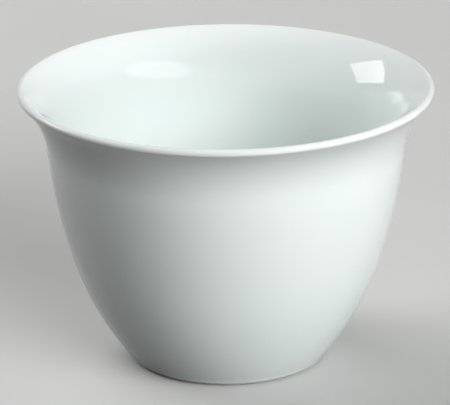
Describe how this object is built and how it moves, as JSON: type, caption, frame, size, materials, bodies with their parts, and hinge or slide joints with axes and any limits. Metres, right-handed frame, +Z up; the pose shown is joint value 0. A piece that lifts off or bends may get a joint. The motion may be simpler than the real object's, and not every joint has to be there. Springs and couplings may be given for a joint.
{
  "type": "arabic coffee cup",
  "caption": "Small handleless white porcelain cup with a bell-shaped wall, a thin flared lip and a bare foot ring, for serving Arabic coffee.",
  "frame": {"origin": "centre of the foot ring, on the surface that the cup stands on", "axes": "+Z up along the axis of the cup, towards its mouth; X and Y are any two level directions, because the cup is round"},
  "size_m": [0.07, 0.07, 0.0481],
  "materials": {
    "bare_porcelain": "bare fired clay, polished smooth on the standing ring",
    "white_glaze": "clear glossy glaze on white, faintly cool"
  },
  "bodies": {
    "root": {"porcelain_body": "bare_porcelain", "glaze_coat": "white_glaze", "foot_well_glaze": "white_glaze"}
  },
  "joints": []
}
